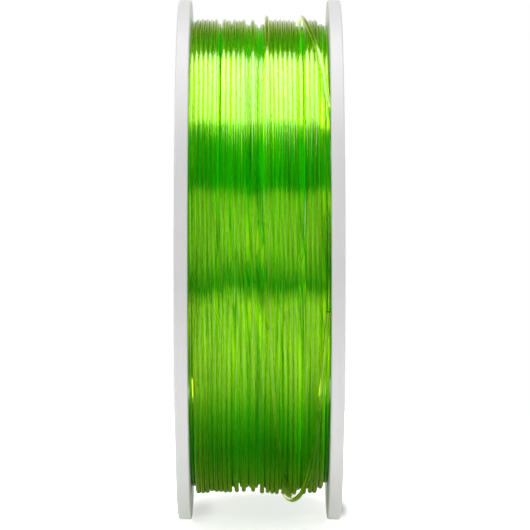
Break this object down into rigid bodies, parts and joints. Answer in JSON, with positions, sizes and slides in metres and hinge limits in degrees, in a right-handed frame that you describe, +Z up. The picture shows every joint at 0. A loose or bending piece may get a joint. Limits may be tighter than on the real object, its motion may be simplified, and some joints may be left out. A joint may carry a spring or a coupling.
{
  "type": "filament spool",
  "caption": "Full spool of thin plastic filament: snap-together moulded flanges and core, dense helical winding, loose last turns with the end parked in a flange slot.",
  "frame": {"origin": "centre of the bore, midway between the flanges", "axes": "+X along the bore axis towards the flange that holds the filament's free end, +Z up with the spool standing on its rims"},
  "size_m": [0.0618, 0.2, 0.2],
  "materials": {
    "flange_plastic": "satin white moulded plastic",
    "core_plastic": "satin white moulded plastic",
    "filament": "glossy translucent light green",
    "label_paper": "smooth coated paper, stood in for by matte plastic"
  },
  "bodies": {
    "root": {"left_flange": "flange_plastic", "right_flange": "flange_plastic", "core": "core_plastic", "filament_winding": "filament", "loose_filament_end": "filament", "filament_start_tail": "filament", "spec_label": "label_paper", "batch_sticker": "label_paper"}
  },
  "joints": []
}
